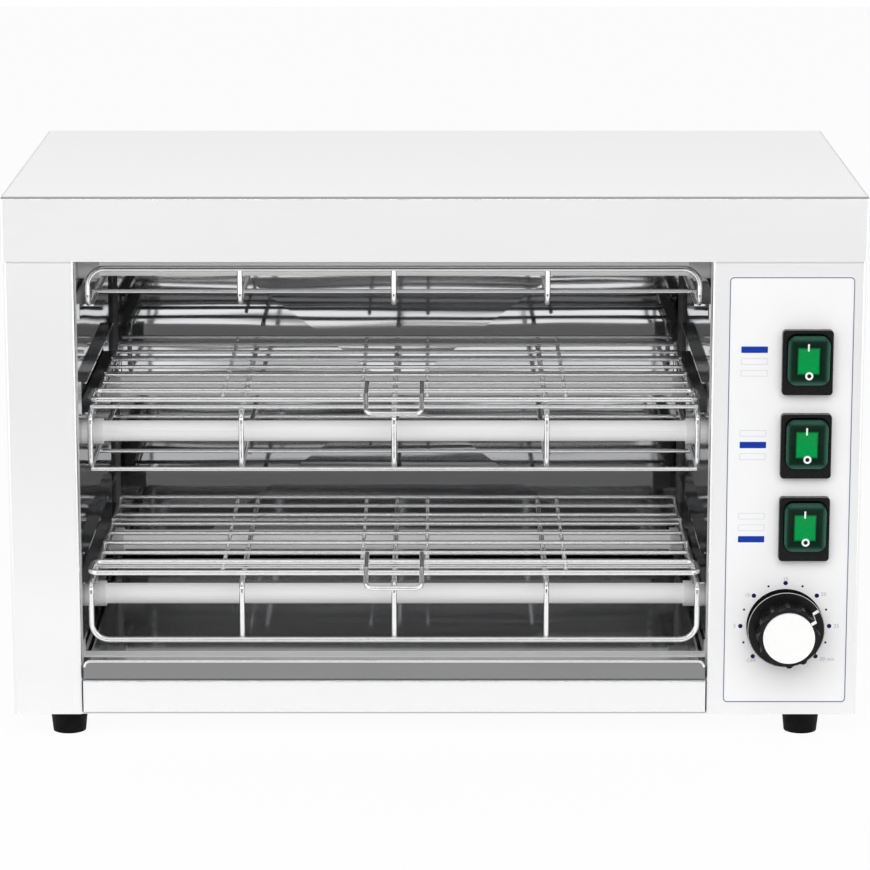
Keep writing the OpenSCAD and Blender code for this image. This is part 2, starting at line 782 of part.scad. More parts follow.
module ledge() {
    z = at_z(top_guard_z - frame_dia / 2);
    color(MIRROR) translate([wall_left, 0, 0]) {
        block([0, at_y(guard_front_d + hoop_r), z - sheet_t], [rail_flange, at_y(rail_rear_d), z]);
        block([0, at_y(guard_front_d + hoop_r), z - ledge_h], [sheet_t, at_y(rail_rear_d), z]);
    }
}

module tray_runner() {
    z = at_z(apron_h);
    start = at_y(apron_shelf_d + over);
    color(MIRROR) translate([wall_left, 0, 0]) {
        block([0, start, z - sheet_t], [runner_w, at_y(tray_rear_d), z]);
        block([0, start, z - sheet_t], [sheet_t, at_y(tray_rear_d), z + runner_h]);
    }
}

// Copy a left-hand piece to the right-hand wall
module to_right() {
    translate([2 * mid_x, 0, 0]) mirror([1, 0, 0]) children();
}

module upper_rail() {
    channel_rail(middle_high_z, guard_front_d + hoop_r);
}

module lower_rail() {
    channel_rail(bottom_guard_z, bottom_guard_front_d + guard_bend_r + frame_dia);
}

// Tray with low walls and a front that hides its edge
module crumb_tray() {
    low = at_z(tray_low_z);
    wall = [sheet_t, sheet_t, sheet_t];
    lo = [mid_x - tray_half, at_y(0), low];
    hi = [mid_x + tray_half, at_y(tray_rear_d), low + tray_wall_h];
    top = low + tray_front_h;
    color(STEEL) {
        difference() {
            block(lo, hi);
            block(lo + wall, [hi[0] - sheet_t, hi[1] - sheet_t, hi[2] + over]);
        }
        face_plate(0, sheet_t) intersection() {
            round_span([mid_x - tray_lip_half, low - tray_corner_r], [mid_x + tray_lip_half, top],
                tray_corner_r);
            translate([mid_x - tray_lip_half, low]) square([2 * tray_lip_half, tray_front_h]);
        }
        x_rod(mid_x - tray_lip_half + tray_corner_r, mid_x + tray_lip_half - tray_corner_r,
            at_y(sheet_t), top - sheet_t, 2 * sheet_t);
    }
}

// Heaters
module quartz_tube(i, j) {
    end = ceramic_in - socket_d + heater_gap;
    y = at_y(heater_depth(j));
    z = at_z(heater_row(i));
    color(OPAL) difference() {
        x_rod(wall_left + end, wall_right - end, y, z, tube_dia);
        x_rod(wall_left, wall_right, y, z, tube_dia - 2 * tube_wall);
    }
}

// Left ceramic end: socket in the chamber, shoulder behind the wall
module ceramic_end(i, j) {
    y = at_y(heater_depth(j));
    z = at_z(heater_row(i));
    out = wall_left - sheet_t - ceramic_out;
    in = wall_left + ceramic_in;
    difference() {
        union() {
            x_rod(out, in, y, z, ceramic_dia);
            x_rod(wall_left - sheet_t - shoulder_t, wall_left - sheet_t, y, z, shoulder_dia);
        }
        x_rod(in - socket_d, in + over, y, z, tube_dia + 2 * heater_gap);
        x_rod(out - over, in, y, z, pin_dia + 2 * heater_gap);
    }
}

module ceramic_ends() {
    color(CERAMIC)
        for (i = [0 : 2])
            for (j = [0, 1])
                ceramic_end(i, j);
}

module heater_cores() {
    end = ceramic_in - socket_d + heater_gap;
    out = sheet_t + ceramic_out + pin_out;
    color(BRASS)
        for (i = [0 : 2])
            for (j = [0, 1]) {
                y = at_y(heater_depth(j));
                z = at_z(heater_row(i));
                x_rod(wall_left + end, wall_right - end, y, z, core_dia);
                x_rod(wall_left - out, wall_right + out, y, z, pin_dia);
            }
}

// Strip that joins the two pins of a row, or a short tab on one pin
module pin_strip(x, i, d0, d1) {
    color(BRASS) difference() {
        block([x, at_y(d0 - strip_w / 2), at_z(heater_row(i)) - strip_w / 2],
            [x + sheet_t, at_y(d1 + strip_w / 2), at_z(heater_row(i)) + strip_w / 2]);
        for (d = [d0, d1])
            x_rod(x - over, x + sheet_t + over, at_y(d), at_z(heater_row(i)), pin_dia + heater_gap);
    }
}

module heater_links() {
    x = wall_left - 2 * sheet_t - ceramic_out;
    for (i = [0 : 2]) pin_strip(x, i, heater_depth(0), heater_depth(1));
}

module heater_terminals() {
    x = wall_right + sheet_t + ceramic_out;
    for (i = [0 : 2])
        for (j = [0, 1])
            pin_strip(x, i, heater_depth(j), heater_depth(j));
}

// Guards
function guard_xs() = [for (i = [-1 : 1]) mid_x + i * guard_pitch];

// Bars across the guards, evenly from depth d0 to d1
module cross_bars(d0, d1, count, z) {
    pitch = (d1 - d0) / (count - 1);
    for (i = [0 : count - 1])
        x_rod(mid_x - guard_half - weld, mid_x + guard_half + weld, at_y(d0 + i * pitch), z, bar_dia);
}

// Frame of a flat guard whose front stands up or hangs down by rise
module guard_frame(front, z, rise) {
    rear = at_y(front + guard_depth + frame_dia / 2);
    x0 = mid_x - guard_half;
    x1 = mid_x + guard_half;
    y = at_y(front);
    wire([[x0, rear, z], [x0, y, z], [x0, y, z + rise], [x1, y, z + rise], [x1, y, z], [x1, rear, z]],
        [guard_bend_r, hoop_r, hoop_r, guard_bend_r], frame_dia);
    for (x = guard_xs())
        wire([[x, rear, z], [x, y + frame_dia - weld, z], [x, y + frame_dia - weld, z + rise]],
            [guard_bend_r], frame_dia);
    cross_bars(front + guard_bar_first, front + guard_depth, guard_bars, z + bar_rise);
}

module top_guard() {
    color(CHROME) guard_frame(guard_front_d, at_z(top_guard_z), hoop_h);
}

module bottom_guard() {
    color(CHROME) guard_frame(bottom_guard_front_d, at_z(bottom_guard_z), -bottom_hoop_h);
}

// Sleeve round the middle heaters: two end loops and three long loops open at the back
module middle_guard() {
    low = at_z(middle_low_z);
    high = at_z(middle_high_z);
    y0 = at_y(guard_front_d);
    y1 = at_y(guard_rear_d);
    half = (y0 + y1) / 2;
    bend = [for (i = [0 : 3]) guard_bend_r];
    color(CHROME) {
        for (x = [mid_x - guard_half, mid_x + guard_half])
            wire([[x, half, high], [x, y0, high], [x, y0, low], [x, y1, low], [x, y1, high], [x, half, high]],
                bend, frame_dia);
        for (x = guard_xs())
            wire([[x, y1 + bar_dia, high], [x, y0, high], [x, y0, low], [x, y1 + bar_dia, low]],
                [guard_bend_r, guard_bend_r], frame_dia);
    }
}

// Bars that lie on the sleeve's loops and under them
module middle_guard_bars() {
    color(CHROME)
        for (z = [-guard_drop, guard_drop])
            cross_bars(guard_front_d + guard_bend_r, guard_rear_d - guard_bend_r, sleeve_bars,
                at_z(heater_row(1) + z));
}

// Racks
module rack(front, z) {
    rear = front + rack_depth;
    y0 = at_y(front);
    y1 = at_y(front + rack_loop_d);
    x0 = mid_x - guard_half;
    x1 = mid_x + guard_half;
    loop_z = z + bar_rise;
    pitch = (rack_depth - rack_loop_d) / rack_bars;
    bend = [for (i = [0 : 3]) rack_loop_r];
    color(CHROME) {
        wire([[mid_x, y0, loop_z], [x0, y0, loop_z], [x0, y1, loop_z], [x1, y1, loop_z], [x1, y0, loop_z],
            [mid_x, y0, loop_z]], bend, frame_dia);
        for (i = [1 : rack_bars])
            x_rod(mid_x - rack_half, mid_x + rack_half, at_y(front + rack_loop_d + i * pitch),
                z + bar_dia - weld, bar_dia);
        for (w = [rack_inner_pitch, rack_outer_pitch])
            for (s = [-1, 1])
                y_rod(mid_x + s * w / 2, z, front + rack_wire_inset, rear + bar_dia, bar_dia);
    }
}

// Handle: two prongs on the loop and a grip that is bent down in front of it
module rack_handle(front, level) {
    z = level + handle_rise;
    ahead = handle_reach - frame_dia;
    half = handle_w / 2;
    tip = norm([ahead, handle_drop]);
    color(CHROME) {
        for (s = [-1, 1]) {
            y_rod(mid_x + s * half, z, front - frame_dia, front + handle_tail, handle_dia);
            translate([mid_x + s * half, at_y(front - frame_dia), z]) sphere(d = handle_dia + weld / 2);
        }
        translate([mid_x, at_y(front - frame_dia), z]) rotate([atan2(handle_drop, ahead), 0, 0])
            wire([[-half, 0, 0], [-half, -tip, 0], [half, -tip, 0], [half, 0, 0]], [handle_r, handle_r],
                handle_dia);
    }
}

// Blade terminal that stands out behind depth d
module blade(x, d, z) {
    block([x - blade_w / 2, at_y(d - over), z - blade_t / 2],
        [x + blade_w / 2, at_y(d + blade_l), z + blade_t / 2]);
}

// Switches
module rocker_outline(grow) {
    round_rect(rocker_w + 2 * grow, rocker_h + 2 * grow, rocker_r + grow);
}

module switch_body(i) {
    x = switch_x;
    z = at_z(switch_row(i));
    color(BLACK) difference() {
        union() {
            face_plate(bezel_front_d, panel_front_d) translate([x, z]) round_rect(bezel_w, bezel_h, bezel_r);
            face_plate(panel_front_d, switch_body_d)
                translate([x, z]) square([switch_body_w, switch_body_h], center = true);
            for (s = [-1, 1])
                for (t = [-1, 1])
                    blade(x + s * switch_body_w / 4, switch_body_d, z + t * switch_body_h / 4);
        }
        translate([rocker_off_x, 0, rocker_off_z]) {
            face_plate(bezel_front_d - over, recess_floor_d) translate([x, z]) rocker_outline(rocker_gap);
            face_plate(bezel_front_d, switch_body_d / 2)
                translate([x, z]) square([stem_w + 2 * slide_gap, stem_h + 2 * stem_gap], center = true);
        }
    }
}

// Rocker at its off end: a cap with two flat faces that meet at a ridge, on a stem with a pivot
module rocker(i) {
    crown = rocker_h / 2 * tan(rocker_tilt);
    lift = rocker_pivot_d - rocker_back_d;
    color(GREEN)
        translate([switch_x + rocker_off_x, at_y(rocker_pivot_d), at_z(switch_row(i)) + rocker_off_z])
            rotate([rocker_tilt, 0, 0]) {
                intersection() {
                    translate([0, -lift, 0]) rotate([90, 0, 0]) linear_extrude(rocker_t + crown)
                        rocker_outline(0);
                    rotate([90, 0, 90]) linear_extrude(rocker_w, center = true)
                        polygon([[-lift, -rocker_h / 2], [-lift - rocker_t, -rocker_h / 2],
                            [-lift - rocker_t + crown, 0], [-lift - rocker_t, rocker_h / 2],
                            [-lift, rocker_h / 2]]);
                }
                block([-stem_w / 2, -lift - over, -stem_h / 2], [stem_w / 2, 0, stem_h / 2]);
                translate([-stem_w / 2, 0, 0]) rotate([0, 90, 0]) cylinder(h = stem_w, d = stem_h / 2);
            }
}

// Timer
module timer_body() {
    quarter = timer_body_w / 4;
    z = at_z(timer_z);
    color(STEEL) difference() {
        union() {
            face_plate(sheet_t, sheet_t + timer_body_d)
                translate([timer_x, z]) round_rect(timer_body_w, timer_body_w, bend_r);
            y_rod(timer_x, z, neck_end_d, 2 * sheet_t, neck_dia);
            for (s = [-1, 1]) blade(timer_x + s * quarter, sheet_t + timer_body_d, z + quarter);
        }
        y_rod(timer_x, z, neck_end_d - over, shaft_end_d, shaft_dia + 2 * slide_gap);
    }
}

module timer_nut() {
    z = at_z(timer_z);
    color(STEEL) difference() {
        face_plate(panel_front_d - neck_nut_t, panel_front_d)
            translate([timer_x, z]) hexagon(neck_nut_w);
        y_rod(timer_x, z, panel_front_d - neck_nut_t - over, over, neck_dia + screw_gap);
    }
}

module timer_shaft() {
    color(STEEL)
        y_rod(timer_x, at_z(timer_z), shaft_tip_d, shaft_end_d - slide_gap, shaft_dia);
}

// Fluted outline of the knob's grip
module grip_outline() {
    difference() {
        circle(d = knob_grip_dia);
        for (i = [0 : knob_flutes - 1])
            rotate(360 / knob_flutes * i + knob_flute_turn)
                translate([knob_grip_dia / 2 + knob_flute_r - knob_flute_t, 0]) circle(knob_flute_r);
    }
}

// Knob: hollow skirt and fluted grip on the shaft
module timer_knob() {
    z = at_z(timer_z);
    color(BLACK) difference() {
        union() {
            y_rod(timer_x, z, skirt_front_d + knob_bevel, knob_back_d, knob_skirt_dia);
            translate([timer_x, at_y(skirt_front_d + knob_bevel), z]) rotate([90, 0, 0])
                cylinder(h = knob_bevel, d1 = knob_skirt_dia, d2 = knob_skirt_dia - 2 * knob_bevel);
            face_plate(grip_front_d, skirt_front_d) translate([timer_x, z]) grip_outline();
        }
        y_rod(timer_x, z, skirt_front_d + knob_wall, knob_back_d + over, knob_skirt_dia - 2 * knob_wall);
        y_rod(timer_x, z, shaft_tip_d - slide_gap, knob_back_d, shaft_dia + screw_gap);
    }
}

module knob_cap() {
    color(WHITE) y_rod(timer_x, at_z(timer_z), grip_front_d - knob_cap_t, grip_front_d, knob_cap_dia);
}

module control_overlay() {
    lo = [open_right + overlay_left, at_z(overlay_low)];
    hi = [right_x - overlay_right, at_z(skirt_low - overlay_top)];
    color(WHITE) difference() {
        face_plate(panel_front_d, 0) round_span(lo, hi, overlay_r);
        for (i = [0 : 2]) switch_hole(i);
        y_rod(timer_x, at_z(timer_z), -over, over, neck_dia + 2 * screw_gap);
    }
}

// Back
module terminal_block() {
    y = at_y(body_d - terminal_d);
    z = at_z(base_top);
    color(WHITE) difference() {
        block([gland_x - terminal_w / 2, y, z], [gland_x + terminal_w / 2, y + terminal_h, z + terminal_h]);
        for (i = [0 : terminal_poles - 1])
            translate([gland_x + (i + 0.5) * terminal_w / terminal_poles - terminal_w / 2, y + terminal_h / 2,
                z + terminal_h / 2])
                cylinder(h = terminal_h, d = terminal_hole_dia);
    }
}

module cable_gland() {
    z = at_z(gland_z);
    color(BLACK) difference() {
        union() {
            y_rod(gland_x, z, body_d - sheet_t - gland_thread_l, body_d + gland_reach, gland_dia);
            face_plate(body_d, body_d + gland_reach / 2) translate([gland_x, z]) hexagon(gland_hex_w);
        }
        y_rod(gland_x, z, body_d - sheet_t - gland_thread_l - over, body_d + gland_reach + over, gland_bore);
    }
}

module gland_nut() {
    z = at_z(gland_z);
    back_d = body_d - sheet_t;
    color(BLACK) difference() {
        face_plate(back_d - gland_nut_t, back_d) translate([gland_x, z]) hexagon(gland_hex_w);
        y_rod(gland_x, z, back_d - gland_nut_t - over, body_d, gland_dia + screw_gap);
    }
}

// Feet and fasteners
module foot(sx, sy) {
    x = sx * (right_x - foot_inset_x);
    y = sy < 0 ? at_y(foot_inset_y) : at_y(body_d - foot_inset_y);
    color(BLACK) translate([x, y, 0]) difference() {
        cylinder(h = foot_h, d1 = foot_low_dia, d2 = foot_top_dia);
        translate([0, 0, -over]) cylinder(h = foot_pocket_h + over, d = foot_pocket_dia);
        cylinder(h = foot_h + over, d = screw_hole);
    }
}

// Pan-head screw with its head below the origin and its thread up
module screw(length) {
    difference() {
        intersection() {
            translate([0, 0, -screw_head_t]) cylinder(h = screw_head_t, d = screw_head_dia);
            translate([0, 0, screw_head_dia - screw_head_t]) sphere(screw_head_dia);
        }
        for (a = [0, 90])
            rotate(a) block([-cross_l / 2, -cross_w / 2, -screw_head_t - over],
                [cross_l / 2, cross_w / 2, cross_t - screw_head_t]);
    }
    cylinder(h = length, d = screw_dia);
}

module foot_screws() {
    color(STEEL)
        for (sx = [-1, 1])
            for (d = [foot_inset_y, body_d - foot_inset_y])
                translate([sx * (right_x - foot_inset_x), at_y(d), foot_pocket_h]) screw(foot_screw_l);
}

module casing_screws() {
    color(STEEL) {
        for (i = [-1 : 1])
            translate([mid_x + i * base_screw_pitch, at_y(base_screw_d), at_z(0)]) screw(screw_l);
        for (x = [-1, 0, 1])
            translate([x * rear_screw_x, at_y(body_d) + sheet_t + cover_gap, at_z(rear_screw_z[0])])
                rotate([90, 0, 0]) screw(screw_l);
        for (x = [-1, 1])
            for (i = [1, 2])
                translate([x * rear_screw_x, at_y(body_d), at_z(rear_screw_z[i])])
                    rotate([90, 0, 0]) screw(screw_l);
    }
}

top_cover();
left_side_panel();
right_side_panel();
base_pan();
front_apron();
back_panel();
inner_left_wall();
inner_right_wall();
inner_back_wall();
ceiling_plate();
front_cross_bar();
upper_rail();  // upper_left_rail
to_right() upper_rail();  // upper_right_rail
lower_rail();  // lower_left_rail
to_right() lower_rail();  // lower_right_rail
ledge();  // top_left_ledge
to_right() ledge();  // top_right_ledge
tray_runner();  // left_tray_runner
to_right() tray_runner();  // right_tray_runner
crumb_tray();
quartz_tube(0, 0);  // bottom_front_tube
quartz_tube(0, 1);  // bottom_rear_tube
quartz_tube(1, 0);  // middle_front_tube
quartz_tube(1, 1);  // middle_rear_tube
quartz_tube(2, 0);  // top_front_tube
quartz_tube(2, 1);  // top_rear_tube
ceramic_ends();  // left_ceramic_ends
to_right() ceramic_ends();  // right_ceramic_ends
heater_cores();
heater_links();
heater_terminals();
top_guard();
middle_guard();
middle_guard_bars();
bottom_guard();
rack(upper_rack_d, rack_z(1));  // upper_rack
rack_handle(upper_rack_d, rack_z(1));  // upper_rack_handle
rack(lower_rack_d, rack_z(0));  // lower_rack
rack_handle(lower_rack_d, rack_z(0));  // lower_rack_handle
switch_body(0);  // bottom_switch_body
switch_body(1);  // middle_switch_body
switch_body(2);  // top_switch_body
rocker(0);  // bottom_rocker
rocker(1);  // middle_rocker
rocker(2);  // top_rocker
timer_body();
timer_shaft();
timer_nut();
timer_knob();
knob_cap();
control_overlay();
terminal_block();
cable_gland();
gland_nut();
foot(-1, -1);  // front_left_foot
foot(1, -1);  // front_right_foot
foot(-1, 1);  // rear_left_foot
foot(1, 1);  // rear_right_foot
foot_screws();
casing_screws();
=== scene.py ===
import json
import math

import bmesh
import bpy
from mathutils import Matrix, Vector


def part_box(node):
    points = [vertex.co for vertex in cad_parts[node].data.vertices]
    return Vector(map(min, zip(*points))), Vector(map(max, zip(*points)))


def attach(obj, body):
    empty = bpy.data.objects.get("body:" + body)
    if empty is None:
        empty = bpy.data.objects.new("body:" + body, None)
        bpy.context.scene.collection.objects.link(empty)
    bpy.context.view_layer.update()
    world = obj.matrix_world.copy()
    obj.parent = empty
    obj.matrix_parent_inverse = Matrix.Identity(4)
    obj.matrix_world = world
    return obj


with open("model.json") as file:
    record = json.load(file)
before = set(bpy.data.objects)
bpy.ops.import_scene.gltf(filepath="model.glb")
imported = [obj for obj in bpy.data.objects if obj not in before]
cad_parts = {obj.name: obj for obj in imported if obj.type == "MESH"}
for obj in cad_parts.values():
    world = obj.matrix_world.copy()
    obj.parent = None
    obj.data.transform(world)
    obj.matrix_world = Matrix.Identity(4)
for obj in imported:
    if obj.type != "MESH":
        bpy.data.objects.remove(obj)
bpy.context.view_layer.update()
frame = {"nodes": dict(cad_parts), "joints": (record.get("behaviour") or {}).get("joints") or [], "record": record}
scene = bpy.context.scene
nodes = frame["nodes"]
record = frame["record"]
MM = 0.001


# Node trees

class Tree:
    """A shader node tree with short helpers."""

    def __init__(self, tree):
        self.tree = tree

    def node(self, kind, **settings):
        made = self.tree.nodes.new(kind)
        for key, value in settings.items():
            setattr(made, key, value)
        return made

    def feed(self, socket, value):
        """Set a socket to a constant, or link it to another node's output."""
        if isinstance(value, (int, float, tuple)):
            socket.default_value = value
        else:
            self.tree.links.new(value, socket)

    def math(self, operation, *values):
        made = self.node("ShaderNodeMath", operation=operation)
        for socket, value in zip(made.inputs, values):
            self.feed(socket, value)
        return made.outputs[0]

    def span(self, value, low, high, start=0.0, end=1.0, curve="LINEAR"):
        """Go from low to high while the value goes from start to end."""
        made = self.node("ShaderNodeMapRange", interpolation_type=curve)
        self.feed(made.inputs["Value"], value)
        self.feed(made.inputs["From Min"], start)
        self.feed(made.inputs["From Max"], end)
        self.feed(made.inputs["To Min"], low)
        self.feed(made.inputs["To Max"], high)
        return made.outputs["Result"]

    def weigh(self, a, share, b):
        """Sum of two values, the first with that share."""
        return self.math("ADD", self.math("MULTIPLY", a, share), self.math("MULTIPLY", b, 1 - share))

    def mix_color(self, share, a, b):
        made = self.node("ShaderNodeMix", data_type="RGBA")
        self.feed(made.inputs[0], share)
        self.feed(made.inputs[6], a)
        self.feed(made.inputs[7], b)
        return made.outputs[2]

    def mix_value(self, share, a, b):
        made = self.node("ShaderNodeMix", data_type="FLOAT")
        self.feed(made.inputs[0], share)
        self.feed(made.inputs[2], a)
        self.feed(made.inputs[3], b)
        return made.outputs[0]

    def axes(self, vector):
        """Parts of a vector along X, Y and Z."""
        made = self.node("ShaderNodeSeparateXYZ")
        self.feed(made.inputs[0], vector)
        return list(made.outputs)


class Mat(Tree):
    """A material with a Principled shader and helpers for procedural detail."""

    NOISE_RANGE = (0.3, 0.7)
    BEND_RANGE = (0.965, 0.995)

    def __init__(self, name, color, metallic=0.0, rough=0.4, **sockets):
        self.material = bpy.data.materials.new(name)
        self.material.use_nodes = True
        super().__init__(self.material.node_tree)
        self.shader = self.tree.nodes["Principled BSDF"]
        self.color = color
        self.normal = None
        self.put("Base Color", color)
        self.put("Metallic", metallic)
        self.put("Roughness", rough)
        for key, value in sockets.items():
            self.put(key.replace("_", " "), value)

    def put(self, socket, value):
        self.feed(self.shader.inputs[socket], value)

    def noise(self, scale, detail=3.0, stretch=(1, 1, 1), rough=0.55):
        place = self.node("ShaderNodeMapping")
        self.feed(place.inputs["Vector"], self.node("ShaderNodeTexCoord").outputs["Object"])
        self.feed(place.inputs["Scale"], stretch)
        made = self.node("ShaderNodeTexNoise")
        self.feed(made.inputs["Vector"], place.outputs["Vector"])
        self.feed(made.inputs["Scale"], scale)
        self.feed(made.inputs["Detail"], detail)
        self.feed(made.inputs["Roughness"], rough)
        return made.outputs["Fac"]

    def vary_color(self, share, dark, light):
        """Colour between a darker and a lighter shade of the base colour."""
        darker = tuple(c * dark for c in self.color[:3]) + (1,)
        lighter = tuple(min(1, c * light) for c in self.color[:3]) + (1,)
        self.shade = self.mix_color(share, darker, lighter)
        self.put("Base Color", self.shade)

    def vary_rough(self, share, low, high):
        self.dull = self.span(share, low, high, *self.NOISE_RANGE)
        self.put("Roughness", self.dull)

    def bump(self, height, distance, strength):
        """Add relief, on top of the relief that is there already."""
        made = self.node("ShaderNodeBump")
        self.feed(made.inputs["Strength"], strength)
        self.feed(made.inputs["Distance"], distance)
        self.feed(made.inputs["Height"], height)
        if self.normal is not None:
            self.feed(made.inputs["Normal"], self.normal)
        self.normal = made.outputs["Normal"]
        self.put("Normal", self.normal)

    def facing(self):
        """How squarely the surface faces along X, Y and Z."""
        normal = self.node("ShaderNodeNewGeometry").outputs["Normal"]
        return [self.math("ABSOLUTE", part) for part in self.axes(normal)]

    def bends(self):
        """One on rounded bends, nought on faces that lie square to the frame."""
        x, y, z = self.facing()
        squarest = self.math("MAXIMUM", self.math("MAXIMUM", x, y), z)
        return self.span(squarest, 1.0, 0.0, *self.BEND_RANGE)


# Colours

def srgb(red, green, blue):
    """Colour from 0 to 255 screen values to linear light."""
    linear = []
    for value in (red, green, blue):
        share = value / 255
        linear.append(share / 12.92 if share <= 0.04045 else ((share + 0.055) / 1.055) ** 2.4)
    return (*linear, 1)


SHEET_WHITE = srgb(247, 247, 248)
# Painted shade: darker grey laid on satin bends that face upwards.
BEND_SHADE_GREY = (0.4, 0.402, 0.406, 1)
# Steel of the oven's inside: its own mirror tone, made darker to paint in part of the shade inside the oven.
WALL_STEEL = (0.43, 0.435, 0.444, 1)
TRAY_DULL = (0.27, 0.272, 0.277, 1)
# Painted light on the tray's floor, and a painted highlight on its bends.
TRAY_FLOOR_LIGHT = (0.74, 0.743, 0.75, 1)
TRAY_BEND_HIGHLIGHT = (0.9, 0.9, 0.91, 1)
CHROME = (0.95, 0.95, 0.96, 1)
QUARTZ = (0.7, 0.7, 0.7, 1)
GLOW_WHITE = (1, 1, 1, 1)
FIRED_WHITE = (0.93, 0.928, 0.92, 1)
BRASS = (0.6, 0.48, 0.26, 1)
ZINC = (0.55, 0.55, 0.56, 1)
PLASTIC_BLACK = (0.01, 0.01, 0.011, 1)
PLASTIC_WHITE = srgb(248, 248, 247)
RUBBER_BLACK = (0.004, 0.004, 0.004, 1)
# Painted shade: black without sheen for the side of the knob's skirt.
SHADE_BLACK = (0.006, 0.006, 0.006, 1)
CAP_GREEN = srgb(18, 66, 48)
CAP_SHADE = srgb(14, 50, 37)
# Painted shade and painted highlight on the rocker's cap.
CAP_DEEP_SHADE = srgb(2, 20, 11)
CAP_RIM_HIGHLIGHT = srgb(76, 122, 104)
LAMP_GREEN = srgb(0, 132, 62)
LAMP_LIGHT_GREEN = srgb(4, 154, 76)


# Materials

def satin_steel(name):
    """Fine-ground white sheet: short grain lines, faint smudges and a slight wave.

    Its bends are burnished. Those that face upwards get painted shade, a darker grey that stands in for the dark
    reflection along the top edge.
    """
    flat_metallic = 0.25
    flat_rough = 0.45
    rough_change = 0.06
    bend_rough = 0.22
    m = Mat(name, SHEET_WHITE, metallic=flat_metallic, rough=flat_rough)
    lines = m.noise(1.0, detail=4.0, stretch=(40, 1400, 1400), rough=0.7)
    smudge = m.noise(9.0)
    bend = m.bends()
    # Painted shade: bends that face upwards are mixed towards a darker grey.
    bend_shade = m.math("MULTIPLY", bend, m.span(m.facing()[2], 0.0, 1.0, start=0.3, end=0.6))
    m.vary_color(m.weigh(lines, 0.6, smudge), dark=0.97, light=1.02)
    m.put("Base Color", m.mix_color(bend_shade, m.shade, BEND_SHADE_GREY))
    m.put("Metallic", m.span(bend, flat_metallic, 1.0))
    m.vary_rough(m.weigh(lines, 0.5, smudge), flat_rough - rough_change, flat_rough + rough_change)
    m.put("Roughness", m.math("SUBTRACT", m.dull, m.math("MULTIPLY", bend, flat_rough - bend_rough)))
    m.bump(lines, distance=0.000012, strength=0.35)
    m.bump(m.noise(4.0, detail=1.0), distance=0.0006, strength=0.25)
    return m


def mirror_steel(name, color, rough, wave):
    """Bright rolled sheet: wavy reflections, faint roll lines and heat-tinted smears."""
    m = Mat(name, color, metallic=1.0, rough=rough)
    m.vary_color(m.noise(14.0, detail=4.0, stretch=(1, 1, 2.5)), dark=0.94, light=1.04)
    m.vary_rough(m.noise(1.0, detail=2.0, stretch=(6, 6, 46)), rough * 0.6, rough * 1.6)
    m.bump(m.noise(1.0, detail=1.5, stretch=(5, 7, 24)), distance=wave, strength=0.6)
    m.bump(m.noise(1.0, stretch=(30, 900, 900)), distance=0.00001, strength=0.2)
    return m


def tray_steel(name):
    """Duller sheet, smoother and a little less metallic on the tray's floor; painted light brightens the floor and
    a painted highlight lies on the bends.
    """
    floor_metallic = 0.9
    floor_rough_share = 0.4
    m = mirror_steel(name, TRAY_DULL, rough=0.13, wave=0.0008)
    level = m.span(m.facing()[2], 0.0, 1.0, start=0.9, end=0.99)
    # Painted light: faces that look upwards are brightened.
    floor_lit_color = m.mix_color(level, m.shade, TRAY_FLOOR_LIGHT)
    # Painted highlight: bends are brightened.
    m.put("Base Color", m.mix_color(m.bends(), floor_lit_color, TRAY_BEND_HIGHLIGHT))
    m.put("Metallic", m.span(level, 1.0, floor_metallic))
    m.put("Roughness", m.math("MULTIPLY", m.dull, m.span(level, 1.0, floor_rough_share)))
    return m


def chrome_wire(name):
    """Plated wire with slight pits and dull places."""
    m = Mat(name, CHROME, metallic=0.9, rough=0.1)
    m.vary_color(m.noise(160.0), dark=0.9, light=1.05)
    m.vary_rough(m.noise(300.0), 0.06, 0.16)
    m.bump(m.noise(900.0, detail=2.0), distance=0.00002, strength=0.2)
    return m


def opal_quartz(name):
    """Milky quartz: soft scattering under the surface and a faint painted glow, fine drawn lines along the tube.
    """
    m = Mat(name, QUARTZ, rough=0.3, Subsurface_Weight=0.35, Subsurface_Scale=0.004)
    m.put("Subsurface Radius", (1.0, 0.9, 0.8))
    # Painted glow: a faint light of its own that stands in for light passing through the milky quartz.
    m.put("Emission Color", GLOW_WHITE)
    m.put("Emission Strength", 0.18)
    drawn = m.noise(1.0, stretch=(6, 500, 500))
    m.vary_color(drawn, dark=0.94, light=1.03)
    m.vary_rough(drawn, 0.22, 0.4)
    m.bump(drawn, distance=0.00003, strength=0.3)
    return m


def fired_ceramic(name):
    """Unglazed white ceramic with a fine grain."""
    m = Mat(name, FIRED_WHITE, rough=0.6)
    m.vary_color(m.noise(200.0, detail=5.0), dark=0.93, light=1.03)
    m.vary_rough(m.noise(150.0), 0.5, 0.7)
    m.bump(m.noise(1800.0, detail=4.0), distance=0.00005, strength=0.4)
    return m


def moulded(name, color, rough, grain=2600.0, depth=0.00003, cloud=0.1, **sockets):
    """Moulded plastic or rubber, or film, with a fine grain."""
    m = Mat(name, color, rough=rough, **sockets)
    m.vary_color(m.noise(60.0), dark=1 - cloud, light=1 + cloud)
    m.vary_rough(m.noise(220.0), rough * 0.85, rough * 1.2)
    m.bump(m.noise(grain), distance=depth, strength=0.4)
    return m


def plated(name, color, rough):
    """Plated or bare small metal parts."""
    m = Mat(name, color, metallic=1.0, rough=rough)
    m.vary_color(m.noise(350.0, detail=4.0), dark=0.82, light=1.08)
    m.vary_rough(m.noise(500.0), rough * 0.7, rough * 1.4)
    m.bump(m.noise(1500.0, detail=2.0), distance=0.00002, strength=0.3)
    return m


def printed(name, color):
    """Screen-printed ink: slightly uneven cover."""
    m = Mat(name, color, rough=0.5, Specular_IOR_Level=0.15)
    m.vary_color(m.noise(900.0), dark=0.92, light=1.08)
    m.bump(m.noise(4000.0, detail=2.0), distance=0.00001, strength=0.3)
    return m


